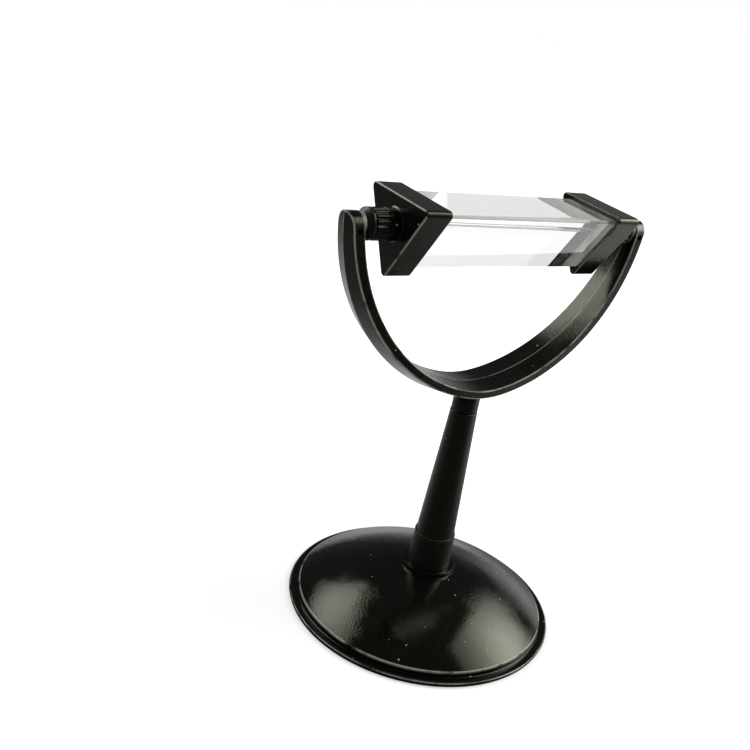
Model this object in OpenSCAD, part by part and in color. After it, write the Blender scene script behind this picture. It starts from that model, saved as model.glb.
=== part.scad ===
// Glass prism on a stand. A domed foot carries a tapered post, a yoke swivels on the post,
// and two triangular end caps hold the prism and turn between the yoke's arms.
// Origin: centre of the foot's underside. X runs along the prism, -Y is the front, Z is up.

/* [Foot] */
// Diameter of the foot at its rim
base_d = 98.4; // [90:0.2:115]
// Height of the flat rim round the dome
rim_h = 1.6; // [1.2:0.1:3]
// How much narrower the rim is at the table than above, all round
rim_draft = 0.4; // [0:0.1:0.8]
// Width of the flat rim round the dome
rim_w = 3.3; // [2:0.1:5]
// Rounding of the rim's upper edge
rim_round = 0.6; // [0.2:0.1:1]
// Height at which the dome's curve starts, at the rim
dome_foot_h = 3.6; // [2.2:0.1:5]
// Height of the dome's curve at the middle
dome_h = 17.2; // [14:0.2:22]
// Wall of the dome
base_wall = 2; // [1.4:0.1:2.6]
// Radius of the flat boss that the post stands on
boss_r = 10; // [9:0.2:14]
// Height of the boss over the middle of the dome
boss_rise = 1.2; // [0.8:0.1:3]
// Radius of the socket under the boss
socket_r = 8.6; // [7.6:0.2:9]
// Height of the socket's end over the table
socket_end_h = 4.5; // [3.6:0.1:5]
// Floor of the socket, which the screw pulls against
socket_floor = 2.4; // [1.6:0.1:3]
// Number of ribs under the dome
rib_count = 4; // [2:1:8]
// Thickness of a rib under the dome
rib_t = 1.6; // [1:0.1:2.4]
// Height of the ribs' lower edge over the table
rib_clear_h = 1.5; // [0.5:0.1:3]

/* [Post] */
// Radius of the plug that goes into the foot's socket
plug_r = 5.6; // [4.6:0.1:6]
// Height of the collar at the post's foot
foot_collar_h = 12.6; // [8:0.2:18]
// Radius of that collar at its upper edge
foot_collar_top_r = 7.45; // [7.1:0.05:9]
// Radius of that collar where it stands on the boss
foot_collar_low_r = 7.9; // [7.2:0.1:9]
// Length of the tapered post above the collar
post_len = 49.6; // [40:0.2:90]
// Radius of the post just above the collar
post_low_r = 7; // [6.3:0.05:7.1]
// Radius of the post at its top
post_top_r = 4.8; // [4.3:0.05:6]

/* [Post screw] */
// Radius of the screw that holds the post
screw_r = 1.75; // [1.25:0.05:2]
// Length of that screw under its head
screw_len = 14; // [10:1:18]
// Radius of the screw's head
head_r = 4.4; // [3:0.1:5]
// Height of the screw's head
head_h = 2.1; // [1.6:0.1:2.6]
// Width of the slots of the cross recess in the head
recess_w = 0.8; // [0.5:0.1:1.2]
// Radius of the washer under the socket
washer_r = 6.4; // [5.4:0.1:7.2]
// Thickness of the washer
washer_t = 0.8; // [0.5:0.1:1]

/* [Swivel] */
// Radius of the spigot that turns in the post
spigot_r = 3; // [2.4:0.1:3.2]
// Length of the spigot inside the post
spigot_len = 18; // [10:1:24]
// Height of the friction collar on the post's top
neck_collar_h = 3.9; // [2:0.1:6]
// Height of the yoke's stem under the band
stem_h = 2.25; // [1.5:0.05:4]

/* [Yoke] */
// Depth of the yoke, from the prism's axis to the inside of its bottom
yoke_depth = 54.7; // [50:0.2:70]
// Radius of the bottom arc, on the inside
bottom_arc_r = 37.2; // [30:0.2:44]
// Radius of the two side arcs, on the inside
side_arc_r = 64; // [60:0.5:80]
// Thickness of the band along its middle
band_t = 5.1; // [4.6:0.1:6.4]
// How much the outside drops for each millimetre away from the middle line
outer_draft = 0.22; // [0.1:0.01:0.26]
// How much the inside drops for each millimetre away from the middle line
inner_draft = 0.06; // [0.02:0.01:0.1]
// Radius of the rounded arm tips, half the arm's width there
tip_r = 4.6; // [4:0.05:5]
// How far the centre of a tip's rounding lies below the prism's axis
tip_drop = 0.8; // [0:0.1:1.2]
// Lean of the band's front and back faces, in degrees
face_lean = 4.1; // [1:0.05:6]
// Height of the round seat inside each arm
pad_h = 0.8; // [0.5:0.1:1.4]

/* [Pivots] */
// Radius of the steel pivot pins
pin_r = 1.5; // [1:0.05:2]
// Depth of the pin's hole in the arm, from the round seat
pin_in_arm = 3.8; // [2.5:0.1:4.2]
// Depth of the pin in the end cap's hub
pin_in_hub = 7.4; // [5:0.1:9]
// Length of the collar between the arm and the hub
arm_collar_len = 2.6; // [2:0.1:5]
// Radius of that collar at the arm
arm_collar_small_r = 3.7; // [3:0.1:4]
// Radius of the set screw in the arm's front face
set_screw_r = 0.97; // [0.7:0.01:1.2]
// How far the set screw sits below the pin's axis
set_screw_drop = 1.2; // [0.8:0.1:1.4]
// How far the set screw is sunk below the arm's front face
set_screw_sunk = 0.5; // [0.2:0.1:0.8]

/* [Prism] */
// Side of the glass prism
prism_side = 25; // [20:0.5:30]
// Length of the glass prism
prism_len = 80; // [60:1:120]
// Width of the flat ground on each long edge
edge_flat = 1; // [0.4:0.1:2]
// Turn of the prism away from level at rest, in degrees
rest_turn = 2.2; // [0:0.1:10]

/* [End caps] */
// Wall of the cap around the glass
cap_wall = 1.65; // [1.2:0.05:3]
// Rounding of the cap's long edges
cap_round = 1.5; // [0.5:0.1:2.5]
// Length of glass inside each cap
cap_lap = 4.1; // [3:0.1:8]
// Thickness of the cushion behind the glass
cushion_t = 3.4; // [1:0.1:5]
// Thickness of the cap's end wall
cap_floor = 2.2; // [1.6:0.1:4]
// Radius of the cap's hub
hub_r = 5; // [4.4:0.1:6.5]
// Length of the smooth part of the hub, between the cap's end wall and the grip
hub_len = 3.8; // [2:0.1:8]
// Length of the ribbed grip
grip_len = 5.1; // [4:0.1:8]
// Radius of the hub inside the grip
core_r = 3.4; // [2.8:0.1:3.8]
// Number of ribs on the grip
grip_ribs = 16; // [10:1:24]
// Height of a rib on the grip
grip_rib_h = 0.45; // [0.2:0.05:0.8]

/* [Hidden] */
$fn = 96;

// Clearances: a fixed fit, a turning fit, the gap beside a turning face, and glass in its pocket
fixed_fit = 0.03;
turning_fit = 0.05;
face_gap = 0.2;
swivel_gap = 0.1;
glass_fit = 0.15;
// Extra length of a cutting shape past the face that it cuts
past = 1;
// Chamfer of the turned parts' edges
edge = 0.35;

// Heights, from the table up
rim_r = base_d / 2;
dome_r = rim_r - rim_w;
seat_z = dome_h + boss_rise;
socket_z = socket_end_h + socket_floor;
collar_top_z = seat_z + foot_collar_h;
post_top_z = collar_top_z + post_len;
neck_z = post_top_z + swivel_gap;
stem_z = neck_z + neck_collar_h;
band_low_z = stem_z + stem_h;
pivot_z = band_low_z + band_t + yoke_depth;

// The dome's sphere, from its height over the span between the curve's ends
dome_rise = dome_h - dome_foot_h;
dome_sphere_r = (dome_r * dome_r + dome_rise * dome_rise) / (2 * dome_rise);
dome_centre_z = dome_h - dome_sphere_r;

// Post screw: the washer's upper face lies against the socket's end, and the head under it
head_z = socket_end_h - washer_t;
screw_tip_z = head_z + screw_len;
screw_point_r = screw_r / 4;
pilot_top_z = screw_tip_z + past;

// Lengths along the prism, from the middle out
glass_end_x = prism_len / 2;
cap_in_x = glass_end_x - cap_lap;
pocket_x = glass_end_x + cushion_t;
cap_out_x = pocket_x + cap_floor;
hub_x = cap_out_x + hub_len;
grip_x = hub_x + grip_len;
collar_x = grip_x + face_gap;
seat_x = collar_x + arm_collar_len;
arm_x = seat_x + pad_h;
pin_out_x = seat_x + pin_in_arm;
pin_in_x = grip_x - pin_in_hub;
set_screw_x = seat_x + pin_in_arm * 0.72;
pin_hole_r = pin_r + turning_fit;

// Distance of the glass's and the cap's flat sides from the axis
glass_in_r = prism_side / (2 * sqrt(3));
pocket_in_r = glass_in_r + glass_fit;
cap_in_r = pocket_in_r + cap_wall;

// The yoke's inner outline: a bottom arc and two side arcs that meet it smoothly and reach the arms.
// The side arc's centre lies where the circles about the bottom arc's centre and the arm's top meet.
bottom_centre_z = pivot_z - yoke_depth + bottom_arc_r;
arm_rise = pivot_z - bottom_centre_z;
arm_reach = sqrt(arm_x * arm_x + arm_rise * arm_rise);
arc_step = side_arc_r - bottom_arc_r;
arm_angle = atan2(arm_rise, arm_x);
centre_angle = arm_angle
    + acos((pow(arm_reach, 2) + pow(arc_step, 2) - pow(side_arc_r, 2)) / (2 * arm_reach * arc_step));
side_centre_x = arc_step * cos(centre_angle);
side_centre_z = bottom_centre_z + arc_step * sin(centre_angle);
join_angle = centre_angle - 90;
band_half_w = tip_r + (yoke_depth + band_t) * tan(face_lean) + past;
// The bottom arc runs this many degrees into the side arcs, so that they make one solid
arc_lap = 0.3;
// Turned shapes on the yoke start their sweep this far round, off the band's middle line
start_turn = 37;
collar_small_r = min(arm_collar_small_r, tip_r - tip_drop);
// The yoke's stem is a little narrower than the post's top, and flares out under the band
stem_r = post_top_r - 0.1;
stem_flare = 0.8;
stem_flare_z = band_low_z - stem_flare / 2;
stem_end_z = band_low_z + band_t * 0.45;

plastic = [0.09, 0.09, 0.08];
rubber = [0.04, 0.04, 0.04];
steel = [0.7, 0.71, 0.73];
glass = [0.85, 0.93, 0.92, 0.4];
felt = [0.55, 0.56, 0.5];

// Revolved shape whose profile is given as radius and height
module turned(points) {
    rotate_extrude() polygon(points);
}

// The same along the prism's axis: radius, and distance from the middle
module turned_along_x(points) {
    translate([0, 0, pivot_z]) rotate([start_turn, 0, 0]) rotate([0, 90, 0]) rotate_extrude() polygon(points);
}

// Draws its child on the right as given, or turned to the left
module on_side(side) {
    mirror([side < 0 ? 1 : 0, 0, 0]) children();
}

// Equilateral triangle about the axis, one corner down: distance of its sides from the axis
module triangle_2d(in_r) {
    circle_r = 2 * in_r;
    polygon([for (a = [-90, 30, 150]) circle_r * [cos(a), sin(a)]]);
}

// The same with rounded corners, made of three bars, three circles and a smaller triangle
module round_triangle_2d(in_r, corner_r) {
    far = 2 * (in_r - corner_r);
    side = far * sqrt(3);
    triangle_2d(in_r - corner_r);
    for (a = [-90, 30, 150]) {
        translate(far * [cos(a), sin(a)]) circle(r = corner_r);
        rotate(a + 180) translate([in_r - corner_r, -side / 2]) square([corner_r, side]);
    }
}

// Lays a drawing of the cross-section across the prism's axis, from one distance to another
module across_axis(from_x, to_x) {
    translate([from_x, 0, pivot_z]) rotate([rest_turn, 0, 0]) rotate([90, 0, 90])
        linear_extrude(to_x - from_x) children();
}

// Outer curve of the dome at a given offset below it, from the rim to the middle
function dome_curve(offset, from_r, to_r, steps) =
    [for (i = [0 : steps])
        let (r = from_r + (to_r - from_r) * i / steps)
        [r, dome_centre_z + sqrt(pow(dome_sphere_r - offset, 2) - r * r)]];

module dome_ball(offset) {
    translate([0, 0, dome_centre_z]) sphere(r = dome_sphere_r - offset, $fn = 180);
}

module base_shell() {
    inner_r = dome_r - base_wall;
    color(plastic) difference() {
        union() {
            // Dome: the part of a sphere over the rim
            intersection() {
                dome_ball(0);
                cylinder(r = dome_r, h = seat_z);
            }
            // Rim with a drafted side and a rounded upper edge
            turned(concat(
                [[0, 0], [rim_r - rim_draft, 0]],
                [for (a = [0 : 15 : 90]) [rim_r, rim_h] - rim_round * [1 - cos(a), 1 - sin(a)]],
                [[0, rim_h]]));
            // Boss under the post
            cylinder(r = boss_r, h = seat_z);
        }
        // Hollow underside, which leaves the ribs and the socket
        difference() {
            intersection() {
                dome_ball(base_wall);
                translate([0, 0, -past]) cylinder(r = inner_r, h = seat_z);
            }
            translate([0, 0, socket_end_h]) cylinder(r = socket_r, h = seat_z);
            for (i = [0 : rib_count - 1]) rotate(i * 360 / rib_count)
                translate([0, -rib_t / 2, rib_clear_h]) cube([dome_r, rib_t, seat_z]);
        }
        // Way in for the washer and the screw's head below the socket
        translate([0, 0, -past]) cylinder(r = socket_r, h = socket_end_h + past);
        translate([0, 0, socket_z]) cylinder(r = plug_r + fixed_fit, h = seat_z);
        cylinder(r = screw_r + turning_fit, h = seat_z);
    }
}

module base_washer() {
    color(steel) translate([0, 0, socket_end_h - washer_t]) difference() {
        cylinder(r = washer_r, h = washer_t);
        translate([0, 0, -past]) cylinder(r = screw_r + turning_fit, h = washer_t + 2 * past);
    }
}

module base_screw() {
    low_z = head_z - head_h;
    color(steel) difference() {
        turned([[0, low_z], [head_r * 0.85, low_z], [head_r, low_z + head_h * 0.4], [head_r, head_z],
                [screw_r, head_z], [screw_r, screw_tip_z - screw_r], [screw_point_r, screw_tip_z],
                [0, screw_tip_z]]);
        // Cross recess
        for (turn = [0, 90]) rotate(turn)
            translate([-head_r * 0.6, -recess_w / 2, low_z - past])
                cube([head_r * 1.2, recess_w, head_h * 0.55 + past]);
    }
}

module post() {
    color(plastic) difference() {
        turned([[0, socket_z], [plug_r - edge, socket_z], [plug_r, socket_z + edge], [plug_r, collar_top_z],
                [post_low_r, collar_top_z], [post_top_r, post_top_z - edge], [post_top_r - edge, post_top_z],
                [0, post_top_z]]);
        translate([0, 0, post_top_z - spigot_len - past])
            cylinder(r = spigot_r + turning_fit, h = spigot_len + 2 * past);
        translate([0, 0, socket_z - past])
            cylinder(r = screw_r + fixed_fit, h = pilot_top_z - socket_z + past);
    }
}

module foot_collar() {
    in_r = plug_r + fixed_fit;
    color(plastic)
        turned([[in_r, seat_z], [foot_collar_low_r - edge, seat_z], [foot_collar_low_r, seat_z + edge],
                [foot_collar_top_r, collar_top_z - edge], [foot_collar_top_r - edge, collar_top_z],
                [in_r, collar_top_z]]);
}

// Section of the yoke's band: distance from the arc's centre, and distance from the middle line
module band_section(arc_r) {
    w = band_half_w;
    polygon([[arc_r, 0], [arc_r + inner_draft * w, w], [arc_r + band_t - outer_draft * w, w],
             [arc_r + band_t, 0], [arc_r + band_t - outer_draft * w, -w], [arc_r + inner_draft * w, -w]]);
}

// One arc of the band, about a centre in the yoke's plane
module band_arc(centre_x, centre_z, arc_r, from, sweep) {
    translate([centre_x, 0, centre_z]) rotate([90, 0, 0]) rotate([0, 0, from])
        rotate_extrude(angle = sweep, $fn = 180) band_section(arc_r);
}

// Side view of the yoke: round tip and two leaning faces
module yoke_faces() {
    reach = pivot_z - band_low_z + past;
    low_y = tip_r + reach * tan(face_lean);
    span = arm_x + band_t + past;
    translate([-span, 0, pivot_z - tip_drop]) rotate([90, 0, 90]) linear_extrude(2 * span) {
        circle(r = tip_r);
        polygon([[tip_r, 0], [-tip_r, 0], [-low_y, -reach], [low_y, -reach]]);
    }
}

// Spigot, stem and the flare that runs into the band
module yoke_stem() {
    spigot_z = post_top_z - spigot_len;
    turned([[0, spigot_z], [spigot_r - edge, spigot_z], [spigot_r, spigot_z + 2 * edge], [spigot_r, stem_z],
            [stem_r, stem_z], [stem_r, stem_flare_z], [stem_r + stem_flare, stem_flare_z + stem_flare],
            [stem_r + stem_flare, stem_end_z], [0, stem_end_z]]);
}

module yoke() {
    side_sweep = 89 - join_angle;
    bottom_half = join_angle + arc_lap;
    color(plastic) difference() {
        union() {
            intersection() {
                union() {
                    band_arc(0, bottom_centre_z, bottom_arc_r, 270 - bottom_half, 2 * bottom_half);
                    for (side = [1, -1]) on_side(side)
                        band_arc(side_centre_x, side_centre_z, side_arc_r, 270 + join_angle, side_sweep);
                }
                yoke_faces();
            }
            for (side = [1, -1]) on_side(side)
                turned_along_x([[0, seat_x], [collar_small_r, seat_x], [collar_small_r, arm_x + band_t * 0.3],
                                [0, arm_x + band_t * 0.3]]);
            rotate(start_turn) yoke_stem();
        }
        for (side = [1, -1]) on_side(side) {
            turned_along_x([[0, seat_x - past], [pin_r + fixed_fit, seat_x - past],
                            [pin_r + fixed_fit, pin_out_x], [0, pin_out_x]]);
            translate([set_screw_x, 0, pivot_z - set_screw_drop]) rotate([90, 0, 0])
                cylinder(r = set_screw_r + fixed_fit, h = tip_r + 2 * past);
        }
    }
}

module neck_collar() {
    in_r = spigot_r + fixed_fit;
    color(rubber)
        turned([[in_r, neck_z], [stem_r - edge, neck_z], [stem_r, neck_z + edge], [stem_r, stem_z],
                [in_r, stem_z]]);
}

module arm_collar(side) {
    in_r = pin_r + fixed_fit;
    cone_x = collar_x + arm_collar_len * 0.35;
    color(rubber) on_side(side)
        turned_along_x([[in_r, collar_x], [hub_r - edge, collar_x], [hub_r, collar_x + edge], [hub_r, cone_x],
                        [collar_small_r, seat_x], [in_r, seat_x]]);
}

module pivot_pin(side) {
    color(steel) on_side(side)
        turned_along_x([[0, pin_in_x], [pin_r - edge, pin_in_x], [pin_r, pin_in_x + edge],
                        [pin_r, pin_out_x - edge], [pin_r - edge, pin_out_x], [0, pin_out_x]]);
}

module set_screw(side) {
    face_y = tip_r + (set_screw_drop - tip_drop) * tan(face_lean) - set_screw_sunk;
    // The flat end meets the pin at the screw's upper edge, or on the pin's middle line
    end_y = sqrt(pin_r * pin_r - pow(max(set_screw_drop - set_screw_r, 0), 2)) + fixed_fit;
    key_depth = 0.7 * set_screw_r;
    color(steel) on_side(side)
        translate([set_screw_x, 0, pivot_z - set_screw_drop]) rotate([90, 0, 0]) difference() {
            translate([0, 0, end_y]) cylinder(r = set_screw_r, h = face_y - end_y);
            // Hexagonal socket for the key
            translate([0, 0, face_y - key_depth])
                cylinder(r = set_screw_r * 0.55, h = key_depth + past, $fn = 6);
        }
}

module end_cap(side) {
    color(plastic) on_side(side) difference() {
        union() {
            across_axis(cap_in_x, cap_out_x) round_triangle_2d(cap_in_r, cap_round);
            turned_along_x([[0, cap_out_x - cap_floor / 2], [hub_r, cap_out_x - cap_floor / 2],
                            [hub_r, hub_x], [core_r, hub_x], [core_r, grip_x - edge],
                            [core_r - edge, grip_x], [0, grip_x]]);
        }
        across_axis(cap_in_x - past, pocket_x) triangle_2d(pocket_in_r);
        turned_along_x([[0, pin_in_x - face_gap], [pin_hole_r, pin_in_x - face_gap],
                        [pin_hole_r, grip_x + past], [0, grip_x + past]]);
    }
}

module grip(side) {
    root_r = hub_r - grip_rib_h;
    rib_r = PI * root_r / grip_ribs * 0.55;
    color(plastic) on_side(side) across_axis(hub_x, grip_x) difference() {
        union() {
            circle(r = root_r);
            for (i = [0 : grip_ribs - 1]) rotate((i + 0.5) * 360 / grip_ribs)
                translate([hub_r - rib_r, 0]) circle(r = rib_r, $fn = 24);
        }
        circle(r = core_r + fixed_fit);
    }
}

module cushion(side) {
    color(felt) on_side(side) across_axis(glass_end_x, pocket_x) triangle_2d(glass_in_r);
}

// Triangle with its three corners ground flat
module prism() {
    flat_at = 2 * glass_in_r - edge_flat * sqrt(3) / 2;
    color(glass) across_axis(-glass_end_x, glass_end_x)
        polygon([for (a = [-90, 30, 150]) for (s = [-1, 1])
            flat_at * [cos(a), sin(a)] + s * edge_flat / 2 * [-sin(a), cos(a)]]);
}

base_shell();
base_washer();
base_screw();
post();
foot_collar();
yoke();
neck_collar();
arm_collar(-1);  // left_arm_collar
arm_collar(1);  // right_arm_collar
pivot_pin(-1);  // left_pivot_pin
pivot_pin(1);  // right_pivot_pin
set_screw(-1);  // left_set_screw
set_screw(1);  // right_set_screw
end_cap(-1);  // left_end_cap
end_cap(1);  // right_end_cap
grip(-1);  // left_grip
grip(1);  // right_grip
cushion(-1);  // left_cushion
cushion(1);  // right_cushion
prism();
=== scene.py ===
import math

import bmesh
import bpy
from mathutils import Euler, Matrix, Vector


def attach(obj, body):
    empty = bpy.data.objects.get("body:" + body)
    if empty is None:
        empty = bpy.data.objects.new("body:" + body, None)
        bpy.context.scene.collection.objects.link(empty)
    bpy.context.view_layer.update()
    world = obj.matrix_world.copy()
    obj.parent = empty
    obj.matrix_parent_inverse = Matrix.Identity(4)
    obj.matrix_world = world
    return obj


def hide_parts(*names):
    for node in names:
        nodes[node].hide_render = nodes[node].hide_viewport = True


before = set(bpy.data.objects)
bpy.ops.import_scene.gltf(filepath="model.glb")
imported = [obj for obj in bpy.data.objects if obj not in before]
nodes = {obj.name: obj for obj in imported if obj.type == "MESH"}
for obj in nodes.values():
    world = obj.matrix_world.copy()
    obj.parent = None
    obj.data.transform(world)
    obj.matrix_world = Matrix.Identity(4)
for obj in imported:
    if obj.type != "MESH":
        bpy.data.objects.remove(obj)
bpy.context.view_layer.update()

MM = 0.001
STAND, YOKE, HOLDER = "stand", "yoke_body", "prism_holder"

# Sizes of the stand in millimetres, the same as the part's own
RIM_LOW_R, RIM_R, RIM_H, RIM_ROUND = 48.8, 49.2, 1.6, 0.6
DOME_R, DOME_FOOT_H, DOME_H = 45.9, 3.6, 17.2
BASE_WALL, BOSS_R, SEAT_Z = 2.0, 10.0, 18.4
SOCKET_R, SOCKET_END_H, SOCKET_Z, PLUG_R = 8.6, 4.5, 6.9, 5.6
RIB_T, RIB_CLEAR_H, RIB_COUNT = 1.6, 1.5, 4
COLLAR_TOP_Z, FOOT_COLLAR_LOW_R, FOOT_COLLAR_TOP_R = 31.0, 7.9, 7.45
POST_TOP_Z, POST_LOW_R, POST_TOP_R = 80.6, 7.0, 4.8
SPIGOT_R, SPIGOT_LEN, BORE_LEN, SCREW_R, PILOT_TOP_Z = 3.0, 18.0, 19.0, 1.75, 18.7
NECK_Z, STEM_Z, BAND_LOW_Z, PIVOT_Z = 80.7, 84.6, 86.85, 146.65
STEM_R, STEM_FLARE = POST_TOP_R - 0.1, 0.8
BOTTOM_ARC_R, SIDE_ARC_R, BAND_T, YOKE_DEPTH = 37.2, 64.0, 5.1, 54.7
OUTER_DRAFT, INNER_DRAFT, TIP_R, TIP_DROP, FACE_LEAN = 0.22, 0.06, 4.6, 0.8, 4.1
PIN_R, PIN_OUT_X, PIN_HOLE_R, PIN_HOLE_X = 1.5, 61.2, 1.55, 46.9
SET_SCREW_R, SET_SCREW_X, SET_SCREW_DROP = 0.97, 60.14, 1.2
SEAT_X, ARM_X, COLLAR_X, COLLAR_SMALL_R = 57.4, 58.2, 54.8, 3.7
COLLAR_CONE_X = COLLAR_X + 0.35 * (SEAT_X - COLLAR_X)
PRISM_SIDE, PRISM_HALF, EDGE_FLAT, REST_TURN = 25.0, 40.0, 1.0, 2.2
GLASS_IN_R = PRISM_SIDE / (2 * math.sqrt(3))
FLAT_OUT_R = 2 * GLASS_IN_R - EDGE_FLAT * math.sqrt(3) / 2
CAP_IN_X, POCKET_X, CAP_OUT_X, HUB_X, GRIP_X = 35.9, 43.4, 45.6, 49.4, 54.5
GLASS_FIT, CAP_WALL, CAP_ROUND = 0.15, 1.8, 1.5
POCKET_IN_R, CAP_IN_R = GLASS_IN_R + GLASS_FIT, GLASS_IN_R + CAP_WALL
HUB_R, CORE_R, GRIP_RIBS, GRIP_RIB_H = 5.0, 3.4, 16, 0.45
FIXED_FIT, TURNING_FIT = 0.03, 0.05

# The two ends with their names, and the directions in which the glass's three long edges point at rest
SIDES = ((-1, "left"), (1, "right"))
EDGE_TURNS = [math.radians(angle + REST_TURN) for angle in (-90, 30, 150)]


# Node trees


class Value:
    """One output of a node. Arithmetic on it adds Math nodes to its tree."""

    def __init__(self, graph, socket):
        self.graph, self.socket = graph, socket

    def math(self, operation, *others):
        values = dict(enumerate((self,) + others))
        return self.graph.new("ShaderNodeMath", {"operation": operation}, values)

    def __add__(self, other):
        return self.math("ADD", other)

    def __sub__(self, other):
        return self.math("SUBTRACT", other)

    def __mul__(self, other):
        return self.math("MULTIPLY", other)

    def __truediv__(self, other):
        return self.math("DIVIDE", other)

    def __pow__(self, other):
        return self.math("POWER", other)

    def __mod__(self, other):
        return self.math("FLOORED_MODULO", other)

    def __gt__(self, other):
        return self.math("GREATER_THAN", other)

    def __lt__(self, other):
        return self.math("LESS_THAN", other)

    def __neg__(self):
        return self.math("MULTIPLY", -1.0)

    def __abs__(self):
        return self.math("ABSOLUTE")

    def __rsub__(self, other):
        return self.graph.new("ShaderNodeMath", {"operation": "SUBTRACT"}, {0: other, 1: self})

    def __rtruediv__(self, other):
        return self.graph.new("ShaderNodeMath", {"operation": "DIVIDE"}, {0: other, 1: self})

    __radd__, __rmul__ = __add__, __mul__

    def clamp(self):
        return self.graph.new("ShaderNodeClamp", {}, {"Value": self})

    def pick(self, when_zero, when_one):
        """when_zero where this is 0, when_one where it is 1, and between them a blend"""
        return when_zero + (when_one - when_zero) * self


class Graph:
    """A node tree that nodes are added to with new()."""

    def __init__(self, tree):
        self.tree = tree

    def new(self, kind, settings=None, values=None, output=0):
        node = self.tree.nodes.new(kind)
        for name, setting in (settings or {}).items():
            setattr(node, name, setting)
        for name, value in (values or {}).items():
            if isinstance(value, Value):
                self.link(value, node, name)
            else:
                node.inputs[name].default_value = value
        return Value(self, node.outputs[output])

    def part(self, value, output):
        """Another output of the node that a value comes from"""
        return Value(self, value.socket.node.outputs[output])

    def xyz(self, vector):
        """The three numbers of a vector"""
        x = self.new("ShaderNodeSeparateXYZ", {}, {"Vector": vector})
        return x, self.part(x, 1), self.part(x, 2)

    def link(self, value, node, name):
        self.tree.links.new(value.socket, node.inputs[name])


# Materials


def first_node(tree, kind):
    return next(node for node in tree.nodes if node.type == kind)


def material(name):
    """A new material, its graph and the graph's Principled shader"""
    made = bpy.data.materials.new(name)
    made.use_nodes = True
    return made, Graph(made.node_tree), first_node(made.node_tree, "BSDF_PRINCIPLED")


def set_sockets(graph, shader, values):
    for name, value in values.items():
        if isinstance(value, Value):
            graph.link(value, shader, name)
        else:
            shader.inputs[name].default_value = value


def place(graph, scale=(1, 1, 1), turn=(0, 0, 0)):
    """Object coordinates, turned and stretched, in metres"""
    coords = graph.new("ShaderNodeTexCoord", output="Object")
    return graph.new("ShaderNodeMapping", {}, {"Vector": coords, "Scale": scale, "Rotation": turn})


def noise(graph, where, scale, detail=3.0, roughness=0.5):
    values = {"Vector": where, "Scale": scale, "Detail": detail, "Roughness": roughness}
    return graph.new("ShaderNodeTexNoise", {}, values)


def specks(graph, where, scale, size, share):
    """Small round marks in a random share of cells"""
    cells = graph.new("ShaderNodeTexVoronoi", {"feature": "F1"}, {"Vector": where, "Scale": scale})
    chosen = graph.new("ShaderNodeSeparateColor", {}, {"Color": graph.part(cells, "Color")})
    return (cells < size * chosen + 0.02) * (graph.part(chosen, 1) < share)


def scratches(graph, turn, scale, share):
    """Fine straight lines in one direction, broken up along their length"""
    lines = noise(graph, place(graph, (1, 0.03, 0.03), turn), scale, 2.0)
    patches = noise(graph, place(graph, turn=turn), scale * 0.06, 2.0)
    return (abs(lines - 0.5) < 0.006) * (patches > 1 - share)


def bump(graph, height, distance):
    return graph.new("ShaderNodeBump", {}, {"Height": height, "Distance": distance})


def blend_colour(graph, mask, first, second):
    values = {"Factor": mask, 6: first, 7: second}
    return graph.new("ShaderNodeMix", {"data_type": "RGBA"}, values, output=2)


def ease(graph, value, low, high):
    """0 at low and beyond it, 1 at high and beyond it, with a smooth change. Low may be the higher one."""
    values = {"Value": value, "From Min": low, "From Max": high}
    return graph.new("ShaderNodeMapRange", {"interpolation_type": "SMOOTHSTEP"}, values)


# The second colour is the pale of dust, hairlines and wear, and along the edges it is painted highlight
BLACK, WEAR_AND_HIGHLIGHT = (0.0026, 0.0026, 0.0021, 1), (0.36, 0.36, 0.32, 1)
FOOT_BLACK, POST_BLACK = (0.002, 0.002, 0.0016, 1), (0.006, 0.006, 0.005, 1)


def moulded_plastic(name, colour, roughness, grain, grain_size, dust, edges):
    """Black moulded plastic with a mould grain, cloudy gloss, hairlines, pale dust and edges painted pale, a
    little as wear and mostly as highlight.

    Grain and its size are in millimetres. edges takes the graph and gives 1 along the edges that are painted
    pale as highlights."""
    made, graph, shader = material(name)
    where = place(graph)
    haze = noise(graph, where, 60, 4.0)
    fine = noise(graph, where, 1000 / grain_size, 3.0, 0.6)
    coarse_here = ease(graph, haze, 0.42, 0.62) * 1.2 + 0.5
    marks = specks(graph, where, 420, 0.16, dust)
    lines = scratches(graph, (0.3, 0.2, 0.5), 900, 0.42)
    lines = lines + scratches(graph, (1.1, 0.7, 2.1), 700, 0.4)
    # Along the edges the pale is painted highlight, where rounded edges catch the lamps, broken up by noise
    # like wear
    rubbed_highlight = edges(graph) * ease(graph, noise(graph, where, 160, 3.0), 0.28, 0.5)
    pale_marks_and_highlight = (marks + lines * 0.02 + rubbed_highlight * 0.9 + haze * 0.006).clamp()
    set_sockets(graph, shader, {
        "Base Color": blend_colour(graph, pale_marks_and_highlight, colour, WEAR_AND_HIGHLIGHT),
        "Roughness": roughness + (haze - 0.5) * 0.08 + (fine - 0.5) * 0.1 + lines * 0.05 + marks * 0.3,
        "Normal": bump(graph, fine * coarse_here + marks * 2, grain * MM),
        "IOR": 1.5, "Specular Tint": (0.96, 1.0, 0.76, 1),
    })
    return made


def in_millimetres(graph):
    """The three object coordinates in millimetres"""
    return graph.xyz(place(graph, (1000, 1000, 1000)))


def length(a, b):
    return (a * a + b * b).math("SQRT")


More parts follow.
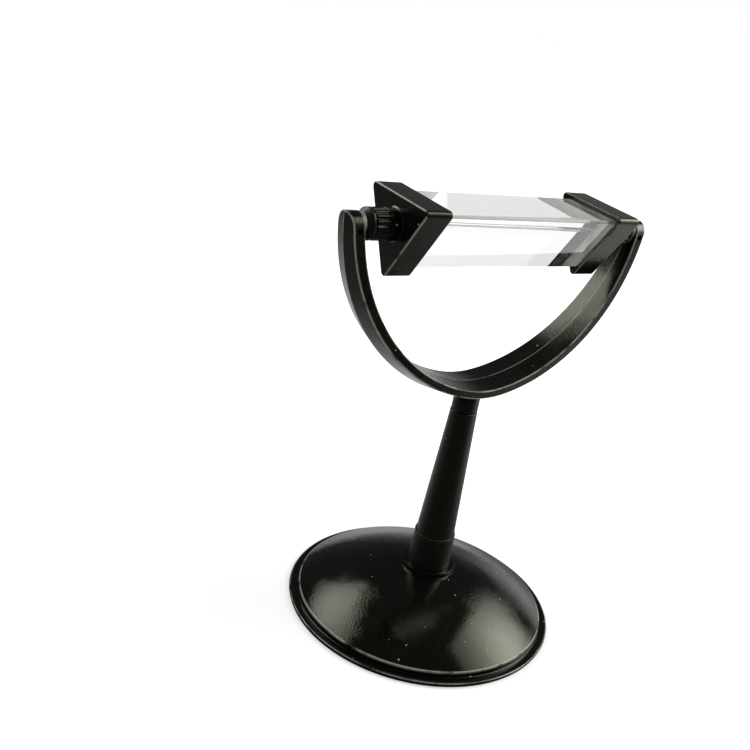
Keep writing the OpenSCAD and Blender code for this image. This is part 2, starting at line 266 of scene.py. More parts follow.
def band_edges(graph):
    """The four long edges of the yoke's band and the mould's parting line along its middle, all painted pale
    as highlights.

    The band's surfaces are found from the same three arcs as its mesh in yoke_tree."""
    x, y, z = in_millimetres(graph)
    x, y = abs(x), abs(y)
    rise = YOKE_DEPTH - BOTTOM_ARC_R
    step, span = SIDE_ARC_R - BOTTOM_ARC_R, math.hypot(rise, ARM_X)
    bend = math.acos((span ** 2 + step ** 2 - SIDE_ARC_R ** 2) / (2 * span * step))
    angle = math.atan2(rise, ARM_X) + bend
    bottom_z = PIVOT_Z - rise
    side_x, side_z = step * math.cos(angle), bottom_z + step * math.sin(angle)
    low = x.math("ARCTAN2", bottom_z - z) < angle - math.pi / 2
    over_arc = low.pick(length(x - side_x, z - side_z) - SIDE_ARC_R,
                        length(x, z - bottom_z) - BOTTOM_ARC_R)
    tip_z = PIVOT_Z - TIP_DROP
    above, under = (z - tip_z).math("MAXIMUM", 0.0), (tip_z - z).math("MAXIMUM", 0.0)
    from_side = TIP_R + under * math.tan(math.radians(FACE_LEAN)) - length(y, above)
    from_outer = BAND_T - y * OUTER_DRAFT - over_arc
    from_inner = over_arc - y * INNER_DRAFT
    edges = ease(graph, from_outer + from_side, 0.5, 0.25)
    edges = edges + ease(graph, from_inner + from_side, 0.5, 0.25)
    # A pale line painted along the parting line as its highlight
    parting_highlight = ease(graph, y, 0.3, 0.14) * (0.55 + 0.2 * ease(graph, over_arc, 2, 4))
    return (edges + parting_highlight).clamp() * (over_arc < BAND_T + 0.3)


def cap_edges(graph):
    """The edges of the cap's end wall and of its rim, painted pale as highlights"""
    x, y, z = in_millimetres(graph)
    walls = [y * math.cos(turn + math.pi) + (z - PIVOT_Z) * math.sin(turn + math.pi) for turn in EDGE_TURNS]
    from_side = CAP_IN_R - walls[0].math("MAXIMUM", walls[1]).math("MAXIMUM", walls[2])
    from_end, from_rim = abs(CAP_OUT_X - abs(x)), abs(abs(x) - CAP_IN_X)
    return ease(graph, from_end + from_side, 0.6, 0.3) + ease(graph, from_rim + from_side, 0.4, 0.2) * 0.6


def foot_edges(graph):
    """The edges of the dome and of the rim round it, painted pale as highlights"""
    x, y, z = in_millimetres(graph)
    reach = length(x, y)
    dome = ease(graph, abs(reach - DOME_R + 0.2), 0.3, 0.12) * (z > DOME_FOOT_H - 0.6)
    rim = ease(graph, abs(reach - RIM_R + 0.3), 0.3, 0.1) * (z > RIM_H - 0.5)
    return dome + rim * 0.6


def post_edges(graph):
    """The edges of the ring at the post's foot, painted faintly pale as a highlight"""
    x, y, z = in_millimetres(graph)
    reach = length(x, y)
    top = ease(graph, abs(z - COLLAR_TOP_Z) + abs(reach - FOOT_COLLAR_TOP_R), 0.5, 0.2)
    return top * (reach > POST_LOW_R + 0.1) * 0.06


def rubber(name, colour, roughness):
    made, graph, shader = material(name)
    where = place(graph)
    cloud = noise(graph, where, 300, 3.0)
    fine = noise(graph, where, 2200, 2.0)
    set_sockets(graph, shader, {
        "Base Color": blend_colour(graph, cloud * 0.4, colour, (0.02, 0.02, 0.018, 1)),
        "Roughness": roughness + (cloud - 0.5) * 0.15,
        "Normal": bump(graph, fine, 0.01 * MM),
        "IOR": 1.5,
    })
    return made


def turned_steel(name, dark, light):
    """Steel with fine rings round X from turning, of a tone that clouds between two colours"""
    made, graph, shader = material(name)
    rings = noise(graph, place(graph, (1, 0.05, 0.05)), 1500, 2.0)
    cloud = noise(graph, place(graph), 400, 3.0)
    set_sockets(graph, shader, {
        "Base Color": blend_colour(graph, cloud, dark, light),
        "Metallic": 1.0,
        "Roughness": 0.24 + rings * 0.2,
        "Normal": bump(graph, rings, 0.008 * MM),
    })
    return made


def felt(name):
    """Pressed grey-green felt of short matted fibres"""
    made, graph, shader = material(name)
    where = place(graph)
    fibres = noise(graph, place(graph, (1, 1, 0.25), (0.6, 0, 0)), 2400, 3.0, 0.7)
    fibres = fibres + noise(graph, place(graph, (1, 0.25, 1), (0.6, 0, 0)), 2400, 3.0, 0.7)
    tone = noise(graph, where, 260, 4.0)
    set_sockets(graph, shader, {
        "Base Color": blend_colour(graph, (tone + fibres * 0.5 - 0.5).clamp(),
                                   (0.25, 0.26, 0.2, 1), (0.42, 0.43, 0.36, 1)),
        "Roughness": 0.85 + tone * 0.1,
        "Normal": bump(graph, fibres, 0.08 * MM),
        "Sheen Weight": 0.2,
    })
    return made


def clear_glass(name):
    """Dense flint glass with polished faces. Its ends and the flats on its long edges are ground."""
    made, graph, shader = material(name)
    x, y, z = in_millimetres(graph)
    flats = [y * math.cos(turn) + (z - PIVOT_Z) * math.sin(turn) > FLAT_OUT_R - 0.03 for turn in EDGE_TURNS]
    ground = flats[0] + flats[1] + flats[2]
    ends = abs(x) > PRISM_HALF - 0.1
    fine = noise(graph, place(graph), 3000, 2.0)
    # The ground flats are tinted near black, painted shade for the dark lines along the glass's long edges
    sides = blend_colour(graph, ground, (0.985, 1.0, 0.992, 1), (0.075, 0.083, 0.056, 1))
    set_sockets(graph, shader, {
        "Base Color": blend_colour(graph, ends, sides, (0.68, 0.7, 0.57, 1)),
        "Roughness": (ground * 0.2 + ends * 0.85).clamp(),
        "Normal": bump(graph, fine * ground, 0.02 * MM),
        "IOR": 1.65,
        "Transmission Weight": 1.0,
    })
    return made


dome_plastic = moulded_plastic("dome_black_plastic", FOOT_BLACK, 0.1, 0.05, 0.8, 0.18, foot_edges)
yoke_plastic = moulded_plastic("yoke_black_plastic", BLACK, 0.17, 0.06, 0.7, 0.08, band_edges)
cap_plastic = moulded_plastic("cap_black_plastic", BLACK, 0.2, 0.03, 0.6, 0.08, cap_edges)
post_plastic = moulded_plastic("post_black_plastic", POST_BLACK, 0.38, 0.03, 0.7, 0.05, post_edges)
black_rubber = rubber("black_rubber", (0.0025, 0.0025, 0.002, 1), 0.4)
steel = turned_steel("turned_steel", (0.5, 0.5, 0.5, 1), (0.62, 0.62, 0.61, 1))
dark_steel = turned_steel("blackened_steel", (0.03, 0.03, 0.03, 1), (0.07, 0.068, 0.065, 1))
pale_felt = felt("pale_felt")
glass = clear_glass("prism_glass")


# Meshes


MERGE_DISTANCE = 0.002 * MM

# Edges that bend by more degrees than this stay sharp
SMOOTH_ANGLE = 32.0


def clean(mesh):
    """Merges doubled points, drops faces without area and turns the faces outward"""
    work = bmesh.new()
    work.from_mesh(mesh)
    bmesh.ops.remove_doubles(work, verts=work.verts, dist=MERGE_DISTANCE)
    bmesh.ops.dissolve_degenerate(work, dist=MERGE_DISTANCE / 2, edges=work.edges)
    bmesh.ops.recalc_face_normals(work, faces=work.faces)
    work.to_mesh(mesh)
    work.free()


def finish_mesh(name, points, faces, finish, smooth_angle=SMOOTH_ANGLE):
    """A piece from points in millimetres, smooth but for edges sharper than an angle"""
    mesh = bpy.data.meshes.new(name)
    mesh.from_pydata([(x * MM, y * MM, z * MM) for x, y, z in points], [], faces)
    clean(mesh)
    mesh.validate()
    mesh.shade_smooth()
    mesh.set_sharp_from_angle(angle=math.radians(smooth_angle))
    piece = bpy.data.objects.new(name, mesh)
    bpy.context.scene.collection.objects.link(piece)
    mesh.materials.append(finish)
    return piece


def rounded(corners, closed=False):
    """Profile through corners, each given as (a, b) or (a, b, rounding radius)"""
    profile, steps, count = [], 6, len(corners)
    for i, corner in enumerate(corners):
        here = Vector(corner[:2])
        if len(corner) < 3 or (not closed and i in (0, count - 1)):
            profile.append(tuple(here))
            continue
        before = Vector(corners[i - 1][:2]) - here
        after = Vector(corners[(i + 1) % count][:2]) - here
        angle = before.angle(after)
        back = corner[2] / math.tan(angle / 2)
        start, end = here + before.normalized() * back, here + after.normalized() * back
        bisector = (before.normalized() + after.normalized()).normalized()
        centre = here + bisector * corner[2] / math.sin(angle / 2)
        for k in range(steps + 1):
            spoke = (start - centre).slerp(end - centre, k / steps)
            profile.append(tuple(centre + spoke * corner[2]))
    return profile


def turned(name, profile, finish, axis="z", closed=False, count=160):
    """A profile of radius and height turned about Z, or about the prism's axis on one side"""
    points, faces = [], []
    for radius, along in profile:
        for k in range(count):
            angle = 2 * math.pi * k / count
            a, b = radius * math.cos(angle), radius * math.sin(angle)
            if axis == "z":
                points.append((a, b, along))
            else:
                points.append((axis * along, a, PIVOT_Z + b))
    rows = len(profile)
    for i in range(rows if closed else rows - 1):
        for k in range(count):
            k2, i2 = (k + 1) % count, (i + 1) % rows
            faces.append((i * count + k, i * count + k2, i2 * count + k2, i2 * count + k))
    return finish_mesh(name, points, faces, finish)


def apply_modifiers(piece):
    """Turns a piece and its modifiers into one plain mesh"""
    depsgraph = bpy.context.evaluated_depsgraph_get()
    mesh = bpy.data.meshes.new_from_object(piece.evaluated_get(depsgraph), depsgraph=depsgraph)
    piece.modifiers.clear()
    piece.data = mesh
    return piece


def cut_or_join(piece, others, operation):
    """Exact union or difference of a piece with others, which are used up"""
    for other in others:
        step = piece.modifiers.new("form", "BOOLEAN")
        step.operation, step.solver, step.object = operation, "EXACT", other
    apply_modifiers(piece)
    for other in others:
        bpy.data.objects.remove(other)
    return piece


def even_shading(piece, smooth_angle=SMOOTH_ANGLE):
    """Keeps flat faces flat beside their fillets"""
    piece.data.shade_smooth()
    piece.data.set_sharp_from_angle(angle=math.radians(smooth_angle))
    step = piece.modifiers.new("even_shading", "WEIGHTED_NORMAL")
    step.keep_sharp = True
    return piece


# Geometry node trees


def geometry_tree(name, inputs):
    """The graph of a new tree with a geometry output, named number inputs and a material input"""
    tree = bpy.data.node_groups.new(name, "GeometryNodeTree")
    for label, value in inputs.items():
        kind = "NodeSocketInt" if isinstance(value, int) else "NodeSocketFloat"
        socket = tree.interface.new_socket(label, in_out="INPUT", socket_type=kind)
        socket.default_value = value
    tree.interface.new_socket("Finish", in_out="INPUT", socket_type="NodeSocketMaterial")
    tree.interface.new_socket("Geometry", in_out="OUTPUT", socket_type="NodeSocketGeometry")
    graph = Graph(tree)
    entry = tree.nodes.new("NodeGroupInput")
    sizes = {label: Value(graph, entry.outputs[label]) for label in list(inputs) + ["Finish"]}
    return graph, sizes


def end_tree(graph, geometry, finish):
    real = graph.new("GeometryNodeRealizeInstances", {}, {"Geometry": geometry})
    done = graph.new("GeometryNodeSetMaterial", {}, {"Geometry": real, "Material": finish})
    graph.link(done, graph.tree.nodes.new("NodeGroupOutput"), 0)


def from_tree(name, tree, inputs, finish):
    """Runs a tree on an empty mesh and keeps the result as a plain mesh"""
    piece = bpy.data.objects.new(name, bpy.data.meshes.new(name))
    bpy.context.scene.collection.objects.link(piece)
    step = piece.modifiers.new("build", "NODES")
    step.node_group = tree
    for item in tree.interface.items_tree:
        if item.in_out == "INPUT":
            step[item.identifier] = finish if item.name == "Finish" else inputs[item.name]
    apply_modifiers(piece)
    clean(piece.data)
    return piece


def grid(graph, rows, columns):
    """A sheet of rows and columns, with each point's row and column"""
    values = {"Vertices X": rows, "Vertices Y": columns, "Size X": 1.0, "Size Y": 1.0}
    sheet = graph.new("GeometryNodeMeshGrid", {}, values)
    index = graph.new("GeometryNodeInputIndex")
    return sheet, (index / columns).math("FLOOR"), index % columns


def at(graph, sheet, x, y, z):
    """A sheet with its points at places in millimetres"""
    spot = graph.new("ShaderNodeCombineXYZ", {}, {"X": x * MM, "Y": y * MM, "Z": z * MM})
    return graph.new("GeometryNodeSetPosition", {}, {"Geometry": sheet, "Position": spot})


def joined(graph, *pieces):
    whole = graph.new("GeometryNodeJoinGeometry")
    for piece in pieces:
        graph.link(piece, whole.socket.node, 0)
    return whole


def mirrored(graph, geometry, scale):
    """A geometry joined with its mirror image"""
    image = graph.new("GeometryNodeTransform", {}, {"Geometry": geometry, "Scale": scale})
    return joined(graph, geometry, graph.new("GeometryNodeFlipFaces", {}, {"Mesh": image}))


def merged(graph, geometry):
    return graph.new("GeometryNodeMergeByDistance", {}, {"Geometry": geometry, "Distance": MERGE_DISTANCE})


def yoke_tree():
    """A band along three arcs, ridged along its middle, with leaning sides, round tips and filleted edges.

    Rows go from the bottom up the arm, and then fan round the tip's centre to its top.
    Columns go from the inner ridge over the inner face, two fillets and the outer face to the outer ridge."""
    face_steps, fillet_steps, arm_rows, fan_rows = 5, 5, 90, 17
    sizes = {
        "Pivot height": PIVOT_Z, "Depth": YOKE_DEPTH, "Bottom arc": BOTTOM_ARC_R, "Side arc": SIDE_ARC_R,
        "Thickness": BAND_T, "Inner draft": INNER_DRAFT, "Outer draft": OUTER_DRAFT, "Tip": TIP_R,
        "Tip drop": TIP_DROP, "Lean": math.tan(math.radians(FACE_LEAN)), "Fillet": 0.3, "Reach": ARM_X}
    graph, size = geometry_tree("yoke_band", sizes)
    pivot, fillet, tip = size["Pivot height"], size["Fillet"], size["Tip"]
    bottom_arc, side_arc, thickness = size["Bottom arc"], size["Side arc"], size["Thickness"]
    tip_z = pivot - size["Tip drop"]
    columns = 2 * face_steps + 2 * fillet_steps + 2
    sheet, row, column = grid(graph, arm_rows + fan_rows, columns)

    # The side arc's centre, from the three lengths that fix it
    rise = size["Depth"] - bottom_arc
    bottom_z = pivot - rise
    span = length(rise, size["Reach"])
    step = side_arc - bottom_arc
    bend = ((span * span + step * step - side_arc * side_arc) / (2 * span * step)).math("ARCCOSINE")
    centre_angle = rise.math("ARCTAN2", size["Reach"]) + bend
    side_x = step * centre_angle.math("COSINE")
    side_z = bottom_z + step * centre_angle.math("SINE")
    join = centre_angle - math.pi / 2
    top_turn = ((side_z - tip_z + 1.2) / side_arc).math("ARCCOSINE")

    # How far each column lies across the face and round the fillets
    quarter = math.pi / 2
    inner = (column / face_steps).clamp()
    round_in = ((column - face_steps) / fillet_steps).clamp() * quarter
    round_out = ((column - (face_steps + fillet_steps + 1)) / fillet_steps).clamp() * quarter
    outer = ((column - (face_steps + 2 * fillet_steps + 1)) / face_steps).clamp()
    outside = column > face_steps + fillet_steps + 0.5
    share = outside.pick(inner, 1 - outer)
    turn = outside.pick(round_in.math("SINE"), round_out.math("COSINE"))
    lift = outside.pick(1 - round_in.math("COSINE"), round_out.math("SINE") - 1) * fillet

    def across(width):
        return (width - fillet) * share + fillet * turn

    def radius(arc, y):
        return arc + lift + outside.pick(y * size["Inner draft"], thickness - y * size["Outer draft"])

    # The arm's rows
    angle = top_turn * (row / (arm_rows - 1)).clamp()
    low = angle < join
    arc, arc_x, arc_z = low.pick(side_arc, bottom_arc), low.pick(side_x, 0), low.pick(side_z, bottom_z)
    middle_z = arc_z - (arc + thickness * 0.5) * angle.math("COSINE")
    guess = radius(arc, across(tip + (tip_z - middle_z) * size["Lean"]))
    arm_z = arc_z - guess * angle.math("COSINE")
    arm_y = across(tip + (tip_z - arm_z) * size["Lean"])
    arm_x = arc_x + radius(arc, arm_y) * angle.math("SINE")

    # The tip's rows
    fan = ((row - arm_rows) / (fan_rows - 1)).clamp() * quarter
    from_pivot = across(tip)
    fan_y = from_pivot * fan.math("COSINE")
    fan_z = tip_z + from_pivot * fan.math("SINE")
    fan_r = radius(side_arc, fan_y)
    drop = side_z - fan_z
    fan_x = side_x + (fan_r * fan_r - drop * drop).math("SQRT")

    tipped = row > arm_rows - 0.5
    x, y, z = tipped.pick(arm_x, fan_x), tipped.pick(arm_y, fan_y), tipped.pick(arm_z, fan_z)
    quarter_band = at(graph, sheet, x, -y, z)
    band = mirrored(graph, mirrored(graph, quarter_band, (1, -1, 1)), (-1, 1, 1))
    end_tree(graph, merged(graph, band), size["Finish"])
    return graph.tree, sizes


def grip_tree():
    """A ring with rounded ribs along it.

    Columns go round it. Rows go from the bore over one rounded end, the ribs and the other end, and back
    to the bore."""
    around, end_steps = 12, 4
    sizes = {
        "Ribs": GRIP_RIBS, "Bore": CORE_R, "Radius": HUB_R, "Rib height": GRIP_RIB_H, "Start": HUB_X,
        "End": GRIP_X, "Side": 1.0, "Edge": 0.3, "Pivot height": PIVOT_Z}
    graph, size = geometry_tree("ribbed_grip", sizes)
    rows = 2 * end_steps + 4
    columns = size["Ribs"] * around + 1
    sheet, row, column = grid(graph, rows, columns)
    angle = column / around / size["Ribs"] * 2 * math.pi
    wave = (angle * size["Ribs"]).math("COSINE")
    rib = size["Radius"] - size["Rib height"] * ((1 - wave) / 2) ** 1.6
    first = ((row - 1) / end_steps).clamp() * math.pi / 2
    last = ((row - (end_steps + 2)) / end_steps).clamp() * math.pi / 2
    second_half = row > end_steps + 1.5
    inset = second_half.pick(1 - first.math("SINE"), 1 - last.math("COSINE"))
    along = second_half.pick(1 - first.math("COSINE"), last.math("SINE") - 1)
    bore = (row < 0.5) + (row > rows - 1.5)
    radius = bore.pick(rib - inset * size["Edge"], size["Bore"])
    x = second_half.pick(size["Start"], size["End"]) + along * size["Edge"] * (1 - bore)
    y, z = radius * angle.math("COSINE"), size["Pivot height"] + radius * angle.math("SINE")
    ring = at(graph, sheet, x * size["Side"], y, z)
    end_tree(graph, merged(graph, ring), size["Finish"])
    return graph.tree, sizes


def rib_tree():
    """Ribs set round the foot's centre: one flat rib, closed on all sides, copied round Z.

    Its ends and its top are sunk a little into the shell's walls."""
    steps = 14
    sizes = {
        "Ribs": RIB_COUNT, "Thickness": RIB_T, "Start": SOCKET_R - 1.0, "End": DOME_R - BASE_WALL + 0.8,
        "Low edge": RIB_CLEAR_H, "Sphere": DOME_SPHERE_R - BASE_WALL + 0.9, "Sphere height": DOME_CENTRE_Z}
    graph, size = geometry_tree("foot_ribs", sizes)
    low_edge, thickness = size["Low edge"], size["Thickness"]

    def reach(row):
        return size["Start"] + (size["End"] - size["Start"]) * row / (steps - 1)

    def top(reach):
        return size["Sphere height"] + (size["Sphere"] * size["Sphere"] - reach * reach).math("SQRT")

    # Columns 0 to 3 go up one side of the rib, over its top edge and down the other side
    sheet, row, column = grid(graph, steps, 4)
    height = (abs(column - 1.5) < 0.9).pick(low_edge, top(reach(row)))
    strip = at(graph, sheet, reach(row), ((column > 1.5) - 0.5) * thickness, height)
    sheet, row, column = grid(graph, steps, 2)
    under = at(graph, sheet, reach(row), (column - 0.5) * thickness, low_edge)
    faces = [strip, under]
    for end in ("Start", "End"):
        sheet, row, column = grid(graph, 2, 2)
        height = row.pick(low_edge, top(size[end]))
        faces.append(at(graph, sheet, size[end], (column - 0.5) * thickness, height))
    rib = merged(graph, joined(graph, *faces))

    values = {"Count": size["Ribs"], "Offset": (0, 0, 0)}
    spots = graph.new("GeometryNodeMeshLine", {"mode": "OFFSET"}, values)
    number = graph.new("GeometryNodeInputIndex")
    turn = graph.new("ShaderNodeCombineXYZ", {}, {"Z": number / size["Ribs"] * 2 * math.pi})
    values = {"Points": spots, "Instance": rib, "Rotation": turn}
    copies = graph.new("GeometryNodeInstanceOnPoints", {}, values)
    end_tree(graph, copies, size["Finish"])
    return graph.tree, sizes


# The foot

DOME_RISE = DOME_H - DOME_FOOT_H
DOME_SPHERE_R = (DOME_R ** 2 + DOME_RISE ** 2) / (2 * DOME_RISE)
DOME_CENTRE_Z = DOME_H - DOME_SPHERE_R


def on_dome(reach, offset=0):
    """The point of the dome's curve at a radius, or of a curve at an offset under it"""
    return reach, DOME_CENTRE_Z + math.sqrt((DOME_SPHERE_R - offset) ** 2 - reach ** 2)


def dome_arc(offset, start, end, steps):
    return [on_dome(start + (end - start) * i / steps, offset) for i in range(steps + 1)]


def foot():
    inner_r, screw_hole_r = DOME_R - BASE_WALL, SCREW_R + TURNING_FIT
    dome_end, boss_start, rim_steps = DOME_R - 1.2, BOSS_R + 0.8, 7
    rim = rounded([(inner_r, 0), (RIM_LOW_R, 0, 0.2), (RIM_R, RIM_H - RIM_ROUND)])
    for k in range(1, rim_steps + 1):
        angle = math.radians(90 * k / rim_steps)
        rim.append((RIM_R - RIM_ROUND * (1 - math.cos(angle)), RIM_H - RIM_ROUND * (1 - math.sin(angle))))
    outside = rounded([rim[-1], (DOME_R + 0.1, RIM_H, 0.4), (DOME_R, DOME_FOOT_H, 0.5), on_dome(dome_end)])
    top = dome_arc(0, dome_end, boss_start, 48)
    boss = rounded([top[-1], (*on_dome(BOSS_R), 0.1), (BOSS_R - 0.1, SEAT_Z, 0.12), (PLUG_R, SEAT_Z)])
    socket = [(PLUG_R, SOCKET_Z), (screw_hole_r, SOCKET_Z), (screw_hole_r, SOCKET_END_H)]
    under = rounded([socket[-1], (SOCKET_R, SOCKET_END_H, 0.4), on_dome(SOCKET_R, BASE_WALL)])
    inside = dome_arc(BASE_WALL, SOCKET_R, inner_r - 0.01, 40)
    profile = rim + outside[1:] + top[1:] + boss[1:] + socket + under[1:-1] + inside
    shell = turned("foot_shell", profile, dome_plastic, closed=True, count=256)
    tree, sizes = rib_tree()
    ribs = from_tree("foot_ribs", tree, sizes, dome_plastic)
    cut_or_join(shell, [ribs], "UNION")
    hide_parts("base_shell")
    return even_shading(shell)


def dressed_stand():
    shell = foot()
    bore_r, bore_end = SPIGOT_R + TURNING_FIT, POST_TOP_Z - BORE_LEN
    pilot_r, collar_in_r = SCREW_R + FIXED_FIT, PLUG_R + FIXED_FIT
    post = turned("tapered_post", rounded([
        (0, PILOT_TOP_Z), (pilot_r, PILOT_TOP_Z), (pilot_r, SOCKET_Z), (PLUG_R, SOCKET_Z, 0.3),
        (PLUG_R, COLLAR_TOP_Z), (POST_LOW_R, COLLAR_TOP_Z, 0.15), (POST_TOP_R, POST_TOP_Z, 0.5),
        (bore_r, POST_TOP_Z, 0.2), (bore_r, bore_end), (0, bore_end)]), post_plastic)
    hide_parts("post")
    collar = turned("foot_ring", rounded([
        (collar_in_r, SEAT_Z), (FOOT_COLLAR_LOW_R, SEAT_Z, 0.35), (FOOT_COLLAR_TOP_R, COLLAR_TOP_Z, 0.15),
        (collar_in_r, COLLAR_TOP_Z)], closed=True), post_plastic, closed=True)
    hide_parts("foot_collar")
    return [shell, even_shading(post), even_shading(collar)]


# The yoke


def dressed_yoke():
    """What is joined to the band reaches into it, and each hole goes past the face that it opens in"""
    tree, sizes = yoke_tree()
    yoke = from_tree("yoke_band", tree, sizes, yoke_plastic)
    flare_r, spigot_z, stem_end_z = STEM_R + 1.6 * STEM_FLARE, POST_TOP_Z - SPIGOT_LEN, BAND_LOW_Z + 2.3
    added = [turned("yoke_stem", rounded([
        (0, spigot_z), (SPIGOT_R, spigot_z, 0.6), (SPIGOT_R, STEM_Z), (STEM_R, STEM_Z, 0.2),
        (STEM_R, BAND_LOW_Z - 0.2, 0.9), (flare_r, BAND_LOW_Z + 0.9), (flare_r, stem_end_z),
        (0, stem_end_z)]), yoke_plastic, count=96)]
    holes = []
    spigot_hole_r, pin_hole_r = SPIGOT_R + FIXED_FIT, PIN_R + FIXED_FIT
    screw_hole_r = SET_SCREW_R + FIXED_FIT
    for side, _ in SIDES:
        added.append(turned("arm_seat", rounded([
            (0, SEAT_X), (COLLAR_SMALL_R, SEAT_X, 0.2), (COLLAR_SMALL_R, ARM_X + 1.5), (0, ARM_X + 1.5)]),
            yoke_plastic, axis=side, count=96))
        holes.append(turned("pin_hole", [
            (0, SEAT_X - 1), (pin_hole_r, SEAT_X - 1), (pin_hole_r, PIN_OUT_X), (0, PIN_OUT_X)],
            yoke_plastic, axis=side, count=48))
        hole = turned("screw_hole", [
            (0, 0), (screw_hole_r, 0), (screw_hole_r, TIP_R + 1), (0, TIP_R + 1)], yoke_plastic, count=48)
        where = Vector((side * SET_SCREW_X, 0, PIVOT_Z - SET_SCREW_DROP)) * MM
        hole.data.transform(Matrix.Translation(where) @ Euler((math.pi / 2, 0, 0)).to_matrix().to_4x4())
        holes.append(hole)
    cut_or_join(yoke, added, "UNION")
    cut_or_join(yoke, holes, "DIFFERENCE")
    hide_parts("yoke")
    neck = turned("neck_ring", rounded([
        (spigot_hole_r, NECK_Z), (STEM_R, NECK_Z, 0.35), (STEM_R, STEM_Z, 0.15), (spigot_hole_r, STEM_Z)],
        closed=True), black_rubber, closed=True)
    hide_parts("neck_collar")
    pieces = [even_shading(yoke, 20.0), even_shading(neck)]
    for side, name in SIDES:
        ring = turned(name + "_arm_ring", rounded([
            (pin_hole_r, COLLAR_X), (HUB_R, COLLAR_X, 0.35), (HUB_R, COLLAR_CONE_X, 0.3),
            (COLLAR_SMALL_R, SEAT_X, 0.1), (pin_hole_r, SEAT_X)], closed=True),
            black_rubber, axis=side, closed=True, count=96)
        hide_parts(name + "_arm_collar")
        pieces.append(even_shading(ring))
    return pieces


# The prism and its caps


def triangle_ring(in_r, corner_r, x):
    """Points of an equilateral triangle with rounded corners, one corner down, across the prism's axis"""
    ring, steps, far = [], 6, 2 * (in_r - corner_r)
    for base in EDGE_TURNS:
        for k in range(steps + 1):
            angle = base + math.radians(-60 + 120 * k / steps)
            y = far * math.cos(base) + corner_r * math.cos(angle)
            z = far * math.sin(base) + corner_r * math.sin(angle)
            ring.append((x, y, PIVOT_Z + z))
    return ring


def lofted(name, rings, finish, smooth_angle=SMOOTH_ANGLE):
    """Skin over rings with as many points each, closed at both ends"""
    count = len(rings[0])
    points = [point for ring in rings for point in ring]
    faces = []
    for i in range(len(rings) - 1):
        for k in range(count):
            k2 = (k + 1) % count
            faces.append((i * count + k, i * count + k2, (i + 1) * count + k2, (i + 1) * count + k))
    faces.append(tuple(range(count)))
    faces.append(tuple(range((len(rings) - 1) * count, len(rings) * count)))
    return finish_mesh(name, points, faces, finish, smooth_angle)


def end_cap(side, name):
    """Open box of three walls, with a pocket, a chamfered rim, rounded outer edges, an end wall and a hub"""
    chamfer, rim_round, end_round = 0.35, 0.3, 0.45
    rows = [(POCKET_X, POCKET_IN_R, 0.05), (CAP_IN_X + chamfer, POCKET_IN_R, 0.05),
            (CAP_IN_X, POCKET_IN_R + chamfer, 0.2)]
    for edge_x, radius, angles in ((CAP_IN_X, rim_round, range(0, 91, 15)),
                                   (CAP_OUT_X, -end_round, range(90, -1, -15))):
        for angle in map(math.radians, angles):
            inset = abs(radius) * (1 - math.sin(angle))
            rows.append((edge_x + radius * (1 - math.cos(angle)), CAP_IN_R - inset, CAP_ROUND - inset))
    rings = [triangle_ring(in_r, corner_r, side * x) for x, in_r, corner_r in rows]
    cap = lofted(name + "_cap", rings, cap_plastic)
    flare_r = HUB_R + 0.5
    hub = turned("hub", rounded([
        (0, CAP_OUT_X - 1), (flare_r, CAP_OUT_X - 1), (flare_r, CAP_OUT_X - 0.05), (HUB_R, CAP_OUT_X + 0.45),
        (HUB_R, HUB_X, 0.35), (CORE_R, HUB_X), (CORE_R, GRIP_X, 0.2), (0, GRIP_X)]),
        cap_plastic, axis=side, count=96)
    bore = turned("hub_bore", [
        (0, PIN_HOLE_X), (PIN_HOLE_R, PIN_HOLE_X), (PIN_HOLE_R, GRIP_X + 1), (0, GRIP_X + 1)],
        cap_plastic, axis=side, count=48)
    cut_or_join(cap, [hub], "UNION")
    cut_or_join(cap, [bore], "DIFFERENCE")
    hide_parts(name + "_end_cap")
    return even_shading(cap)


def dressed_prism():
    outline = []
    for turn in EDGE_TURNS:
        for along in (-EDGE_FLAT / 2, EDGE_FLAT / 2):
            outline.append((FLAT_OUT_R * math.cos(turn) - along * math.sin(turn),
                            PIVOT_Z + FLAT_OUT_R * math.sin(turn) + along * math.cos(turn)))
    # The glass stops a hair short of the felt, so that their faces don't coincide
    end_x = PRISM_HALF - 0.05
    prism = lofted("glass_prism", [[(x, y, z) for y, z in outline] for x in (-end_x, end_x)], glass, 10.0)
    edge = prism.modifiers.new("polished_edge", "BEVEL")
    edge.width, edge.segments, edge.limit_method, edge.angle_limit = 0.12 * MM, 2, "ANGLE", math.radians(20)
    apply_modifiers(prism)
    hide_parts("prism")
    pieces = [even_shading(prism, 20.0)]
    tree, sizes = grip_tree()
    for side, name in SIDES:
        pieces.append(end_cap(side, name))
        grip = from_tree(name + "_ribbed_grip", tree, dict(sizes, Side=float(side)), cap_plastic)
        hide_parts(name + "_grip")
        pieces.append(even_shading(grip, 50.0))
    return pieces


# What each piece rides on, and the finishes of the pieces that come from the part itself

for piece in dressed_stand():
    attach(piece, STAND)
for piece in dressed_yoke():
    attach(piece, YOKE)
for piece in dressed_prism():
    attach(piece, HOLDER)

node_finishes = {
    "base_washer": steel, "base_screw": steel, "left_pivot_pin": steel, "right_pivot_pin": steel,
    "left_set_screw": dark_steel, "right_set_screw": dark_steel, "left_cushion": pale_felt,
    "right_cushion": pale_felt}
for name, finish in node_finishes.items():
    for slot in nodes[name].material_slots:
        slot.material = finish


# Floor, light and camera


def ray(graph, *kinds):
    """1 for rays of the named kinds"""
    return sum((graph.new("ShaderNodeLightPath", output="Is %s Ray" % kind) for kind in kinds), 0.0).clamp()


